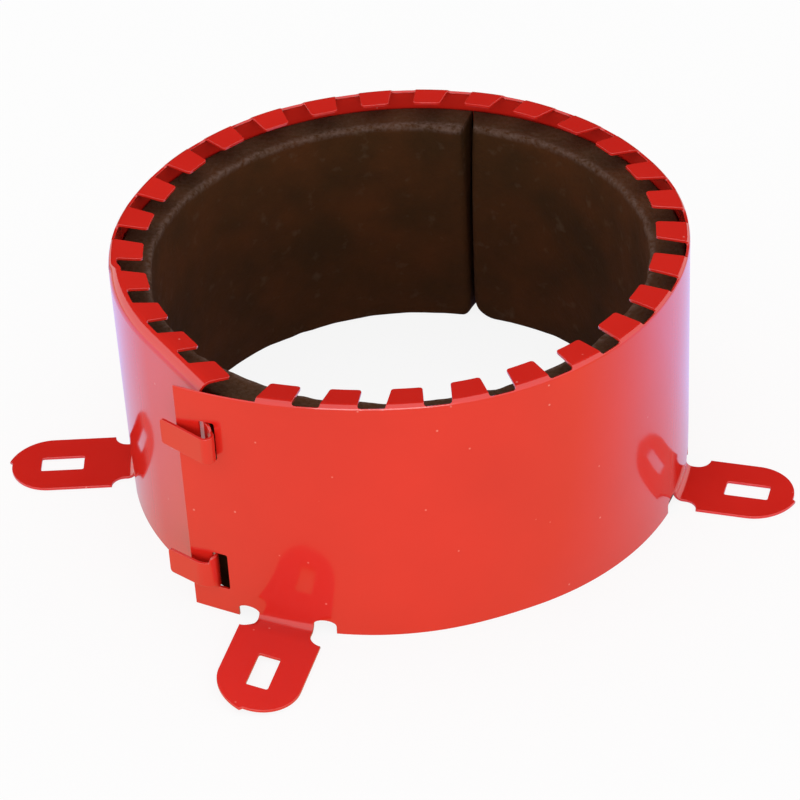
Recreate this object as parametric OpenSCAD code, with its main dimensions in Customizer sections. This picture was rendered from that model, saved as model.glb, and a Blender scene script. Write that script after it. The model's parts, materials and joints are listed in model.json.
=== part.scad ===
// Pipe fire collar: a steel band folded from one blank, lined with one strip of
// intumescent material, that clasps a plastic pipe where it passes a wall or floor.
// The origin is on the pipe's axis in the base plane, with +Z along the pipe.
// Places along the band are lengths on its outer face from the outer end, as on the blank.

/* [Pipe and liner] */
// Outside diameter of the pipe
pipe_d = 110; // [75:1:160]
// Play between the pipe and the liner, on the radius
pipe_play = 1; // [0.5:0.1:3]
// Thickness of the intumescent strip
liner_t = 8.1; // [6:0.1:14]
// Gap between the top of the strip and the teeth above it
crown_gap = 4.3; // [1:0.1:6]
// Rounding of the strip's upper edges
liner_edge_r = 1.2; // [0.4:0.1:2.5]
// Gap between the two ends of the strip
liner_seam_gap = 1; // [0.5:0.1:3]
// Width of the bevel on each end of the strip
liner_seam_bevel = 2; // [1:0.1:3]
// Direction of the gap in the strip, in degrees
liner_seam_angle = 81; // [20:1:160]
// Bond line between the strip and the band
bond_gap = 0.2; // [0.1:0.05:0.5]

/* [Band] */
// Height from the base plane to the top of the teeth
band_h = 60; // [50:1:90]
// Thickness of the coated sheet
sheet_t = 0.7; // [0.5:0.1:1]
// Direction in which the outer end leaves the circle, in degrees
flare_start = 279; // [270:1:290]
// Length of the outer end that springs away from the circle
flare_len = 51.6; // [45:0.1:60]
// How much larger the radius of that end is than the band's
flare_ease = 35; // [25:1:60]

/* [Crown of teeth] */
// Place of the first tooth along the band
tooth_start = 19.1; // [17:0.1:24]
// Distance from one tooth to the next
tooth_pitch = 13.9; // [12:0.1:18]
// Width of the notch between two teeth
notch_w = 5.9; // [4:0.1:7]
// Reach of a tooth in from the outer face
tooth_len = 7.6; // [5:0.1:9]
// Outside radius of the fold at a tooth's root
fold_r = 1.2; // [1.1:0.1:1.8]
// Depth of a notch below the start of the fold
notch_relief = 0.2; // [0.1:0.1:1]
// Number of teeth at the inner end that are rolled over a wider shoulder
rolled_teeth = 4; // [1:1:6]
// Outside radius of that shoulder
rolled_r = 3; // [2:0.1:3.5]

/* [Fixing lugs] */
// Place of the first lug along the band, at its middle
lug_start = 22.2; // [20:0.1:28]
// Distance from one lug to the next
lug_pitch = 111.6; // [70:0.1:140]
// Width of the neck
neck_w = 13; // [10:0.1:16]
// Width of the lug
lug_w = 18.8; // [17:0.1:24]
// Reach of the shoulders out from the band
lug_shoulder = 6.4; // [5:0.1:9]
// Reach of the lug out from the band
lug_reach = 29; // [26:0.1:40]
// Inside radius of the fold at the base
lug_fold_r = 0.8; // [0.5:0.1:1.2]
// Width of the relief cut in the band on each side of the neck
relief_w = 5; // [3:0.1:6]
// Height of the neck above the fold, up to where the relief cut turns over
relief_rise = 0.4; // [0.3:0.1:1.5]
// Height of the relief cut's rounded top
relief_top = 1.3; // [0.8:0.1:2.5]
// Width of the screw slot
screw_slot_w = 5; // [4:0.1:7]
// Length of the screw slot
screw_slot_l = 10; // [6:0.1:12]
// Reach of the screw slot's near end out from the band
screw_slot_start = 12; // [9:0.1:14]

/* [Closure] */
// Place of the two slots along the band, at their middle
slot_place = 7.1; // [6.5:0.1:9]
// Width of each slot
slot_w = 4.4; // [4.2:0.1:6]
// Height of each slot
slot_h = 10.5; // [8:0.1:12]
// Height of the lower slot above the base plane
lower_slot_z = 7.5; // [6:0.1:12]
// Depth of the upper slot below the top of the teeth
upper_slot_drop = 6.5; // [5:0.1:10]
// Width of each tongue
tongue_w = 6.5; // [4:0.1:7.5]
// Height of a tongue's edge above the bottom of its slot
tongue_rise = 0.4; // [0.2:0.1:0.5]
// Inside radius of the tongue's fold
tongue_fold_r = 1.2; // [1:0.1:1.6]
// Angle through which a tongue is folded back, in degrees
tongue_fold = 164; // [155:1:168]
// Length of the tongue's leg that lies over the outer end
tongue_leg = 12; // [9:0.1:14]
// How far the band's inner end stops short of the slots
tail_gap = 2.2; // [2:0.1:3]
// How far past the slot a tongue starts to fold
tongue_exit = 1.8; // [1.6:0.1:2.5]

/* [Hidden] */
$fn = 180;
// Overlap that makes a cut clean
cut = 1;
// Depth of a cut through the outer end that leaves the inner end behind it whole
sheet_cut = 1.4 * sheet_t;

bore_r = pipe_d / 2 + pipe_play;
liner_r = bore_r + liner_t;
liner_h = band_h - sheet_t - crown_gap;
band_r = liner_r + bond_gap + sheet_t;

// Turn in degrees of an arc of a given length and radius
function turn(len, r) = len / r * 180 / PI;
function polar(r, a) = r * [cos(a), sin(a)];

// The outer end: an arc of a larger radius, tangent to the circle
flare_r = band_r + flare_ease;
flare_centre = polar(band_r - flare_r, flare_start);
free_angle = flare_start - turn(flare_len, flare_r);

// The inner end: a flat that leaves the circle on a tangent and runs out through the slots
mid_r = band_r - sheet_t / 2;
slot_angle = free_angle + turn(slot_place, flare_r);
slot_point = flare_centre + polar(flare_r - sheet_t / 2, slot_angle);
tail_reach = sqrt(pow(norm(slot_point), 2) - pow(mid_r, 2));
tail_angle = 360 + atan2(slot_point[1], slot_point[0]) - atan2(tail_reach, mid_r);

round_len = band_r * (tail_angle - flare_start + 360) * PI / 180;
tail_start = flare_len + round_len;
band_len = tail_start + tail_reach - tail_gap;

// The teeth: as many as the blank has room for
tooth_w = tooth_pitch - notch_w;
tooth_count = 1 + floor((band_len - tooth_start - tooth_w) / tooth_pitch);
function tooth_place(i) = tooth_start + i * tooth_pitch;
teeth_end = tooth_place(tooth_count - 1) + tooth_w;
first_rolled = tooth_count - rolled_teeth;
rolled_start = tooth_place(first_rolled) - notch_w;
rolled_angle = flare_start + turn(rolled_start - flare_len, band_r);
function notch_place(i) = tooth_place(i) + tooth_w + notch_w / 2;
// The tooth after which the two halves of the crown meet, in a notch
middle_tooth = floor(first_rolled / 2);
root_h = band_h - fold_r - notch_relief;

// The lugs: as many as fit before the flat inner end
lug_count = 1 + floor((tail_start - lug_start - lug_w) / lug_pitch);
function lug_place(i) = lug_start + i * lug_pitch;

slot_floors = [lower_slot_z, band_h - upper_slot_drop - slot_h];

// Puts a shape at a place along the band: x points outwards from the outer face, y along it
module at(s) {
    if (s <= flare_len)
        rotate(flare_start) translate([band_r - flare_r, 0]) rotate(-turn(flare_len - s, flare_r))
            translate([flare_r, 0]) children();
    else if (s <= tail_start)
        rotate(flare_start + turn(s - flare_len, band_r)) translate([band_r, 0]) children();
    else
        rotate(tail_angle) translate([band_r, s - tail_start]) children();
}

// Turns a section about the Z axis, forwards or backwards from the X axis: x is 0 on the outer face
module turned(r, len, backwards = false) {
    mirror([0, backwards ? 1 : 0]) rotate_extrude(angle = turn(len, r)) translate([r, 0]) children();
}

// Carries a section over a short stretch of the band, within its outer end or its round part
module stretch(from, len) {
    r = from < flare_len ? flare_r : band_r;
    at(from) translate([-r, 0]) turned(r, len) children();
}

module ring_section(outside, inside) {
    difference() {
        circle(outside);
        circle(inside);
    }
}

module half_plane(size) {
    translate([-size, 0]) square([2 * size, size]);
}

// Section of the upright wall between two heights
module wall_section(from, to) {
    translate([-sheet_t, from]) square([sheet_t, to - from]);
}

// Section of the wall above a given height, with its fold in over the liner and a tooth
module crown_section(from, r) {
    wall_section(from, band_h - r);
    translate([-r, band_h - r]) {
        intersection() {
            ring_section(r, r - sheet_t);
            square(r);
        }
        translate([r - tooth_len, r - sheet_t]) square([tooth_len - r, sheet_t]);
    }
}

// Section of the fold out from the base, with a root in the wall and a short flat for the lug
module base_fold_section() {
    outside = lug_fold_r + sheet_t;
    translate([-sheet_t, outside]) square([sheet_t, relief_rise / 2]);
    translate([lug_fold_r, outside]) intersection() {
        ring_section(outside, lug_fold_r);
        translate([-outside, -outside]) square(outside);
    }
    translate([lug_fold_r, 0]) square([sheet_t, sheet_t]);
}

// The notch that follows a tooth, from the tips out to a given distance inside the outer face
module notch(i, inset) {
    at(notch_place(i)) translate([-tooth_len - cut, -notch_w / 2, root_h])
        cube([tooth_len + cut - inset, notch_w, band_h]);
}

// The outer end, turned back from its joint with the round part
module outer_end() {
    rotate(flare_start) translate([band_r - flare_r, 0]) turned(flare_r, flare_len, true) children();
}

// The outer end and the first half of the round part, with no crown up to the first tooth.
// The two halves are turned from the joints at their far ends, and lap in a notch.
module outer_half() {
    bare = tooth_place(0) + cut;
    difference() {
        union() {
            outer_end() crown_section(0, fold_r);
            rotate(flare_start) turned(band_r, notch_place(middle_tooth) + notch_w / 4 - flare_len)
                crown_section(0, fold_r);
        }
        at(tooth_place(0)) translate([-flare_r, 0]) mirror([0, 1]) rotate_extrude(angle = turn(bare, flare_r))
            translate([flare_r - tooth_len - cut, root_h]) square([tooth_len + 2 * cut, band_h]);
        for (i = [0 : middle_tooth]) notch(i, -cut);
    }
}

// The second half of the round part, up to the rolled teeth
module inner_half() {
    difference() {
        rotate(rolled_angle) turned(band_r, rolled_start - notch_place(middle_tooth) + notch_w / 4, true)
            crown_section(0, fold_r);
        for (i = [middle_tooth : first_rolled - 2]) notch(i, -cut);
    }
}

// The rolled teeth, on the last of the round part and the flat inner end
module rolled_end() {
    half = (tail_start - rolled_start) / 2;
    flat = band_len - tail_start;
    difference() {
        union() {
            rotate(rolled_angle) turned(band_r, half + cut) crown_section(0, rolled_r);
            rotate(tail_angle) {
                turned(band_r, half, true) crown_section(0, rolled_r);
                translate([band_r, flat]) rotate([90, 0]) linear_extrude(flat) crown_section(0, rolled_r);
            }
        }
        for (i = [first_rolled - 1 : tooth_count - 2]) notch(i, rolled_r - sheet_t / 2);
        at(teeth_end) translate([-tooth_len - cut, 0, band_h - rolled_r - notch_relief])
            cube([tooth_len + 2 * cut, notch_w, band_h]);
    }
}

module lug_outline() {
    flat_start = lug_fold_r + sheet_t / 2;
    end_x = lug_reach - lug_w / 2;
    scoop = (lug_w - neck_w) / 2;
    difference() {
        union() {
            translate([flat_start, -neck_w / 2]) square([lug_shoulder - flat_start, neck_w]);
            translate([lug_shoulder - scoop, -lug_w / 2]) square([end_x - lug_shoulder + scoop, lug_w]);
            translate([end_x, 0]) circle(d = lug_w);
        }
        for (side = [-1, 1]) translate([lug_shoulder - scoop, side * lug_w / 2]) circle(scoop);
        translate([screw_slot_start, -screw_slot_w / 2]) square([screw_slot_l, screw_slot_w]);
    }
}

module lug(i) {
    s = lug_place(i);
    half = neck_w / 2 + cut;
    intersection() {
        stretch(s - half, 2 * half) base_fold_section();
        at(s) translate([-half, -neck_w / 2]) cube([2 * half, neck_w, half]);
    }
    at(s) linear_extrude(sheet_t) lug_outline();
}

// What a lug takes out of the wall: the fold's own height, and a rounded relief on each side
module lug_clearance(i) {
    half = neck_w / 2 + relief_w;
    depth = half * half / (2 * band_r) + sheet_cut;
    fold_h = lug_fold_r + sheet_t;
    at(lug_place(i)) translate([-depth, 0]) {
        translate([0, -half, -cut]) cube([depth + cut, 2 * half, fold_h + cut]);
        for (side = [-1, 1]) translate([0, side * (neck_w + relief_w) / 2, fold_h + relief_rise]) {
            rotate([0, 90]) scale([2 * relief_top / relief_w, 1]) cylinder(d = relief_w, h = depth + cut);
            translate([0, -relief_w / 2, -fold_h]) cube([depth + cut, relief_w, fold_h]);
        }
    }
}

module closure_slot(z) {
    at(slot_place) translate([-sheet_cut, -slot_w / 2, z]) cube([2 * sheet_cut, slot_w, slot_h]);
}

// Plan of a tongue: straight out through its slot, then folded back over the outer end
module tongue_plan() {
    fold_y = tail_reach + tongue_exit;
    outside = tongue_fold_r + sheet_t;
    root_y = tail_reach - tail_gap - cut;
    translate([-sheet_t, root_y]) square([sheet_t, fold_y - root_y]);
    translate([tongue_fold_r, fold_y]) {
        intersection() {
            ring_section(outside, tongue_fold_r);
            half_plane(outside);
            rotate(180 - tongue_fold) half_plane(outside);
        }
        rotate(180 - tongue_fold) translate([tongue_fold_r, -tongue_leg]) square([sheet_t, tongue_leg]);
    }
}

module tongue(z) {
    at(tail_start) translate([0, 0, z + tongue_rise]) linear_extrude(tongue_w) tongue_plan();
}

// One folded sheet: the band, its crown of teeth, its lugs and its closure
module casing() {
    color("#C8222A") {
        difference() {
            union() {
                outer_half();
                inner_half();
                rolled_end();
            }
            for (i = [0 : lug_count - 1]) lug_clearance(i);
            for (z = slot_floors) closure_slot(z);
        }
        for (i = [0 : lug_count - 1]) lug(i);
        for (z = slot_floors) tongue(z);
    }
}

module liner_section() {
    r = liner_edge_r;
    translate([bore_r, 0]) {
        square([liner_t, liner_h - r]);
        translate([r, 0]) square([liner_t - 2 * r, liner_h]);
        for (x = [r, liner_t - r]) translate([x, liner_h - r]) circle(r);
    }
}

// One strip bent to a ring, open at its seam, with the inner corners of its ends bevelled
module intumescent_liner() {
    open = turn(liner_seam_gap, bore_r);
    color("#3A2318") difference() {
        rotate(liner_seam_angle + open / 2) rotate_extrude(angle = 360 - open) liner_section();
        rotate(liner_seam_angle) translate([bore_r, 0, -cut]) rotate(45)
            translate([-liner_seam_bevel, -liner_seam_bevel])
                cube([2 * liner_seam_bevel, 2 * liner_seam_bevel, liner_h + 2 * cut]);
    }
}

casing();
intumescent_liner();
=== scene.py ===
# %% [markdown]
# A pipe fire collar, dressed for a picture. The real thing is a red steel band that clasps a plastic pipe
# where it passes a wall or floor. Inside it lies a strip of intumescent material, which swells in a fire
# and squeezes the melting pipe shut. This lesson builds both pieces as numpy arrays, gives them their
# finish, and lights them on a pale floor.

# %% The frame
import json

import bpy
import numpy as np
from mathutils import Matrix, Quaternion, Vector
from mathutils.geometry import delaunay_2d_cdt


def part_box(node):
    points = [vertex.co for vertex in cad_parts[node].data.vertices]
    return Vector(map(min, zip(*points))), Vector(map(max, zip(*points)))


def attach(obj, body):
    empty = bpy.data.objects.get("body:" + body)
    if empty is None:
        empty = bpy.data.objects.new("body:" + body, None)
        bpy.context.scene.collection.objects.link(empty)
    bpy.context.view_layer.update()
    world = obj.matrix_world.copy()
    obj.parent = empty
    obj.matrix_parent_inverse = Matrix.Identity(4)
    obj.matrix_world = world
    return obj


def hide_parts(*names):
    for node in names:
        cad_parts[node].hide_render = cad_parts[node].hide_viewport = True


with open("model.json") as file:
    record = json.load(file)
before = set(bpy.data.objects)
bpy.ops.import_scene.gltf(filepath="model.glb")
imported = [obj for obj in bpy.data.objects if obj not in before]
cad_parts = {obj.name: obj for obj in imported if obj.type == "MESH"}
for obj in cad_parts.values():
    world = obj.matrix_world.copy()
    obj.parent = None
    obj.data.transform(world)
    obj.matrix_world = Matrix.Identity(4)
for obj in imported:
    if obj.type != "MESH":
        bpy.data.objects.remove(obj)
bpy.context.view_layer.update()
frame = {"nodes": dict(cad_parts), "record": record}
MM = 0.001
HALF_TURN = np.pi
QUARTER_TURN = np.pi / 2
print("pieces of the collar:", sorted(frame["nodes"]))

# %% [markdown]
# The camera comes first, so that every later render shows the same view. The picture was taken with a long
# lens from above, and tipped a little to one side. A camera is easiest to place by the point it looks at,
# its bearing and height round that point, and its roll about its own axis.

# %% The camera
LOOKS_AT = Vector((-0.6, -7.6, 19.7)) * MM
BEARING, HEIGHT, ROLL = np.radians([9.14, 36.06, -3.38])
DISTANCE = 693.4 * MM
FOCAL_LENGTH = 135.9

towards_camera = Vector((
    np.sin(BEARING) * np.cos(HEIGHT),
    -np.cos(BEARING) * np.cos(HEIGHT),
    np.sin(HEIGHT),
))
camera = bpy.data.objects.new("camera", bpy.data.cameras.new("camera"))
camera.data.lens = FOCAL_LENGTH
camera.location = LOOKS_AT + towards_camera * DISTANCE
camera.rotation_mode = "QUATERNION"
camera.rotation_quaternion = (-towards_camera).to_track_quat("-Z", "Y") @ Quaternion((0, 0, 1), ROLL)
bpy.context.scene.collection.objects.link(camera)
bpy.context.scene.camera = camera
print("camera at", [round(x, 3) for x in camera.location])

# %% [markdown]
# The casing is one flat blank of thin sheet, cut out and then folded. It could be modelled face by face,
# but a folded sheet is easier to think of as the blank itself: each point has a length s along the band and
# a height t up the sheet, and folding is a function that carries (s, t) into space. The function has two
# halves. Seen from above, the band is a chain of arcs and straights. Seen in section, the sheet folds in at
# the crown and out at the lugs.

# %% Sizes of the blank, in millimetres
# The sheet and the band. The outer end is sprung open, so it runs on a larger radius.
SHEET_T, BAND_H, BAND_R = 0.7, 60.0, 65.0
FLARE_START, FLARE_LEN, FLARE_R = np.radians(279.0), 51.6, 100.0
# The teeth. The last few, near the inner end, are rolled in more softly than the others.
TOOTH_START, TOOTH_PITCH, TOOTH_W, TOOTH_LEN = 19.1, 13.9, 8.0, 7.6
TEETH, ROLLED_TEETH = 29, 4
FOLD_R, ROLLED_R, NOTCH_RELIEF = 1.2, 3.0, 0.2
# The lugs: front, right, back and left. The right one is shorter, and its slot lies nearer to the band.
LUG_START, LUG_PITCH, LUGS = 22.2, 111.6, 4
LUG_PLACES = LUG_START + LUG_PITCH * np.arange(LUGS)
NECK_W, LUG_W, LUG_SHOULDER, LUG_REACH = 12.6, 18.8, 4.9, 29.0
LUG_FOLD_R, RELIEF_W, RELIEF_RISE, RELIEF_TOP = 1.5, 5.0, -0.3, 1.3
LUG_SHORT, SLOT_NEARER = (0.0, 3.2, 0.0, 0.0), (0.0, 1.9, 0.0, 0.0)
SCREW_SLOT_W, SCREW_SLOT_L, SCREW_SLOT_START = 5.0, 10.0, 12.0
# The closure: two slots in the outer end, and two tongues on the inner end that pass through them.
SLOT_PLACE, SLOT_W, SLOT_H, SLOT_FLOORS = 7.4, 3.6, 9.5, (6.7, 42.2)
TONGUE_W, TONGUE_FLOORS, TONGUE_DROPS = 6.5, (7.9, 43.4), (0.8, 0.0)
TONGUE_FOLD_R, TONGUE_FOLD, TONGUE_LEG = 1.2, np.radians(164.0), 12.0
TONGUE_EXIT, TAIL_GAP = 1.8, 2.2
# The lower tongue hugs the side of its slot: it turns out, rises, folds over and eases down on to the band.
HUG_START, HUG_END = 0.4, 14.4
HUG_R, HUG_BEND, HUG_RISE, HUG_FOLD = 1.0, np.radians(46.0), 0.6, np.radians(70.0)
EASE_R, EASE_FOLD = 4.0, np.radians(45.0)


def polar(radius, angle):
    """Points at a radius and angle round the origin, as x and y on the last axis."""
    return np.asarray(radius)[..., None] * np.stack([np.cos(angle), np.sin(angle)], -1)


FREE_ANGLE = FLARE_START - FLARE_LEN / FLARE_R
FLARE_CENTRE = polar(BAND_R - FLARE_R, FLARE_START)
MID_R = BAND_R - SHEET_T / 2
SLOT_POINT = FLARE_CENTRE + polar(FLARE_R - SHEET_T / 2, FREE_ANGLE + SLOT_PLACE / FLARE_R)
TAIL_REACH = np.sqrt(SLOT_POINT @ SLOT_POINT - MID_R**2)
TAIL_ANGLE = 2 * HALF_TURN + np.arctan2(SLOT_POINT[1], SLOT_POINT[0]) - np.arctan2(TAIL_REACH, MID_R)
ROUND_LEN = BAND_R * (TAIL_ANGLE - FLARE_START + 2 * HALF_TURN)
TAIL_START = FLARE_LEN + ROUND_LEN
BAND_LEN = TAIL_START + TAIL_REACH - TAIL_GAP
TONGUE_FOLD_START = TAIL_START + TAIL_REACH + TONGUE_EXIT
TONGUE_FOLD_LEN = TONGUE_FOLD_R * TONGUE_FOLD
TONGUE_END = TONGUE_FOLD_START + TONGUE_FOLD_LEN + TONGUE_LEG
TONGUE_ENDS = (BAND_LEN + HUG_END, TONGUE_END)
print("blank length without its tongues:", round(float(BAND_LEN), 1), "mm")

# %% [markdown]
# From above, the ring is the sprung outer end and the round part. The two tongues then go their own ways,
# because the inner end was pushed in at a slant: the upper tongue stands out in a loop, and the lower one
# hugs its slot.

# %% The band from above
RING = ((FLARE_LEN, 1 / FLARE_R), (ROUND_LEN, 1 / BAND_R))
UPPER_PLAN = RING + (
    (TAIL_REACH + TONGUE_EXIT, 0),
    (TONGUE_FOLD_LEN, -1 / TONGUE_FOLD_R),
    (TONGUE_LEG, 0),
)
LOWER_PLAN = RING + (
    (BAND_LEN + HUG_START - TAIL_START, 0),
    (HUG_R * HUG_BEND, -1 / HUG_R),
    (HUG_RISE, 0),
    (TONGUE_FOLD_R * HUG_FOLD, -1 / TONGUE_FOLD_R),
    (EASE_R * EASE_FOLD, -1 / EASE_R),
    (TONGUE_LEG, 0),
)


def travel(point, angle, bend, run):
    """Point and normal's angle after a run along a stretch that bends evenly. The normal turns by bend
    times run, and the point moves along the chord of that arc, or straight along the tangent where there is
    no bend."""
    turned = angle + bend * run
    if bend:
        return point + polar(1 / bend, turned) - polar(1 / bend, angle), turned
    return point + polar(run, angle + QUARTER_TURN), turned


def band_plan(s, plan=UPPER_PLAN):
    """The outer face from above, at lengths s: its points and the angles of its outward normal. The
    stretches of the plan follow one another, so each starts where the last one ended."""
    point, angle, start = FLARE_CENTRE + polar(FLARE_R, FREE_ANGLE), FREE_ANGLE, 0.0
    points = np.empty(s.shape + (2,))
    angles = np.empty(s.shape)
    for length, bend in plan:
        here = s >= start
        points[here], angles[here] = travel(point, angle, bend, s[here] - start)
        point, angle = travel(point, angle, bend, np.float64(length))
        start += length
    return points, angles


# %% [markdown]
# In section the wall is straight and the folds are arcs. The teeth were folded one after another, so each
# gets its own angle: a mean, a slow swing round the ring and a little chance.

# %% The sheet in section
LUG_TOP = LUG_FOLD_R + SHEET_T
TEETH_S = TOOTH_START + TOOTH_PITCH * np.arange(TEETH)
MEAN_FOLD, FOLD_SWING, FOLD_CHANCE, FURTHEST_FOLD = 92.0, 8.0, 1.5, np.radians(230.0)
hand = np.random.default_rng(7)
tooth_angles = band_plan(TEETH_S + TOOTH_W / 2)[1]
swing = FOLD_SWING * np.cos(tooth_angles - FURTHEST_FOLD)
TOOTH_FOLDS = np.radians(MEAN_FOLD + swing + hand.uniform(-FOLD_CHANCE, FOLD_CHANCE, TEETH))
TOOTH_RADII = np.where(np.arange(TEETH) < TEETH - ROLLED_TEETH, FOLD_R, ROLLED_R)
TOOTH_TIPS = BAND_H - TOOTH_RADII + TOOTH_RADII * TOOTH_FOLDS + TOOTH_LEN - TOOTH_RADII


def nearest_tooth(s):
    """Number of the tooth that a length along the band belongs to, with half a notch on each side."""
    notch = TOOTH_PITCH - TOOTH_W
    return np.clip((s - TOOTH_START + notch / 2) // TOOTH_PITCH, 0, TEETH - 1).astype(int)


def crown_section(t, radius, fold):
    """Section of the wall and its tooth, at heights t: reach out, height, and tilt of the normal above
    level. The wall is straight up to the fold, which turns through an arc, and the tooth runs on straight
    from it."""
    start = BAND_H - radius
    tilt = np.clip((t - start) / radius, 0, fold)
    flat = np.maximum(t - start - radius * fold, 0)
    reach = radius * (np.cos(tilt) - 1) - flat * np.sin(tilt)
    height = np.minimum(t, start) + radius * np.sin(tilt) + flat * np.cos(tilt)
    return reach, height, tilt


def lug_section(t):
    """Section of the wall and a lug, in the same terms: below its top the sheet turns out through a quarter
    circle and then lies level."""
    tilt = np.clip((LUG_TOP - t) / LUG_FOLD_R, 0, QUARTER_TURN)
    flat = np.maximum(LUG_TOP - t - LUG_FOLD_R * QUARTER_TURN, 0)
    reach = LUG_FOLD_R * (1 - np.cos(tilt)) + flat
    height = np.maximum(t, LUG_TOP) - LUG_FOLD_R * np.sin(tilt)
    return reach, height, tilt


print("teeth are folded by", np.degrees(TOOTH_FOLDS).min().round(), "degrees and more")

# %% [markdown]
# A real collar is never quite true. Rolling and handling leave slight waves in the thin sheet, the front
# lug was bent askew, and the front of the band stands out a little at its base. A bump in the material
# could fake the waves, but only real shape moves the outline and the reflections together. So each fault is
# a function of the blank.

# %% How the sheet departs from true, in millimetres
LONG_WAVE, LONG_RUN, SWAY, SWAY_RUN = 0.09, 11.0, 0.6, 19.0
SHORT_WAVE, SHORT_RUN, SLANT_RUN, SHORT_PHASE = 0.035, 4.7, 16.0, 1.1
RIPPLE_RISE = 8.0
TWIST, TWIST_RUN, TWIST_ROOM = np.tan(np.radians(5.5)), 5.0, 1.0
SPRAWL, SPRAWL_START, SPRAWL_FULL, SPRAWL_EASE, SPRAWL_END = 2.2, 2.0, 38.0, 40.0, 78.0


def ripple(s, t):
    """Two sets of slight waves, a long one that sways with height and a short one that runs at a slant.
    They fade out above the lugs."""
    long_wave = LONG_WAVE * np.sin(s / LONG_RUN + SWAY * np.sin(t / SWAY_RUN))
    short_wave = SHORT_WAVE * np.sin(s / SHORT_RUN - t / SLANT_RUN + SHORT_PHASE)
    return (long_wave + short_wave) * np.clip(t / RIPPLE_RISE, 0, 1)


def twist(s, t):
    """How far the front lug stands up from level: it was bent askew, so its left side is higher than its
    right."""
    across = s - LUG_PLACES[0]
    on_lug = (np.abs(across) < LUG_W / 2 + TWIST_ROOM) & (t < LUG_TOP)
    grown = np.clip((LUG_TOP - t) / TWIST_RUN, 0, 1)
    return np.where(on_lug, TWIST * (LUG_W / 2 - across) * grown, 0.0)


def unevenness(s, t):
    """How far the sheet stands out along its own normal."""
    return ripple(s, t) + twist(s, t)


def eased(share):
    """A share from 0 to 1 that starts and stops gently: 3x^2 - 2x^3."""
    x = np.clip(share, 0, 1)
    return x * x * (3 - 2 * x)


def sprawl(s, t):
    """How far the band's front stands out at its base, level with the floor: none at the crown, growing
    with the square of the depth below it. It sets in past the closure and fades out before the right
    lug."""
    sets_in = eased((s - SPRAWL_START) / (SPRAWL_FULL - SPRAWL_START))
    fades = eased((SPRAWL_END - s) / (SPRAWL_END - SPRAWL_EASE))
    return SPRAWL * sets_in * fades * np.clip(1 - t / BAND_H, 0, 1) ** 2


# %% [markdown]
# The fold function joins the two halves: the plan gives where a point stands and which way is out, and the
# section gives how far out and how high. It also returns the surface's own three directions (out of the
# sheet, along it and up it). The exact normals are worth keeping: set on the mesh, they give the coat the
# smooth reflections of a true curve, however coarse the triangles are.

# %% Folding the blank
CHORD_REACH, LUG_ROOM = 3.0, 0.5
SLOPE_STEP = 0.5


def with_slopes(shape, s, t):
    """Values of a shape function at blank points, and its slopes along s and t, each taken over a short
    step."""
    here, further, higher = shape(s, t), shape(s + SLOPE_STEP, t), shape(s, t + SLOPE_STEP)
    return here, (further - here) / SLOPE_STEP, (higher - here) / SLOPE_STEP


def fold_sheet(s, t, depth):
    """Space points in millimetres of blank points (s, t) at a depth below the coated face, with the
    directions out of the sheet, along it and up it. Near a lug the curve of the band eases into the lug's
    straight chord."""
    tooth = nearest_tooth(s)
    reach, height, tilt = crown_section(t, TOOTH_RADII[tooth], TOOTH_FOLDS[tooth])
    base, angle = band_plan(s)
    lower = t < BAND_H / 2
    base[lower], angle[lower] = band_plan(s[lower], LOWER_PLAN)
    lug = np.abs(s[:, None] - LUG_PLACES).argmin(1)
    across = s - LUG_PLACES[lug]
    on_lug = (t < LUG_TOP) & (np.abs(across) < NECK_W / 2 + RELIEF_W - LUG_ROOM)
    lug_base, lug_angle = band_plan(LUG_PLACES)
    flat = np.where(on_lug, np.clip(lug_section(t)[0] / CHORD_REACH, 0, 1), 0.0)
    chord = lug_base[lug] + polar(across, lug_angle[lug] + QUARTER_TURN)
    base += flat[:, None] * (chord - base)
    angle += flat * (lug_angle[lug] - angle)
    reach, height, tilt = np.where(on_lug, lug_section(t), (reach, height, tilt))

    out, along = polar(np.ones_like(s), angle), polar(np.ones_like(s), angle + QUARTER_TURN)
    along = np.column_stack([along, np.zeros_like(s)])
    normal = np.column_stack([out * np.cos(tilt)[:, None], np.sin(tilt)])
    up = np.column_stack([-out * np.sin(tilt)[:, None], np.cos(tilt)])
    points = np.column_stack([base + out * reach[:, None], height])
    wave, wave_s, wave_t = with_slopes(unevenness, s, t)
    stand, stand_s, stand_t = with_slopes(sprawl, s, t)
    slope_s, slope_t = wave_s + stand_s * np.cos(tilt), wave_t + stand_t * np.cos(tilt)
    points[:, :2] += out * stand[:, None]
    points += normal * (wave - depth)[:, None]
    normal = normal - along * slope_s[:, None] - up * slope_t[:, None]
    return points, normal / np.linalg.norm(normal, axis=1, keepdims=True), along, up


# %% [markdown]
# Now the outline of the blank, which is drawn flat: teeth along the top, lugs along the bottom, tongues at
# one end and slots at the other. Straight sides get a point wherever they cross a line of the grid that
# will fill the sheet, so that they bend where the sheet bends. Curves are arcs with points of their own.

# %% The grid of the blank
STEP_S, STEP_T, STEP_FOLD = 2.1, 4.0, 0.32
END_ROOM = 0.15


def spread(start, end, step):
    """Evenly spaced values from start up to end, no further apart than step."""
    return np.linspace(start, end, int(np.ceil((end - start) / step)) + 1)[:-1]


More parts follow.
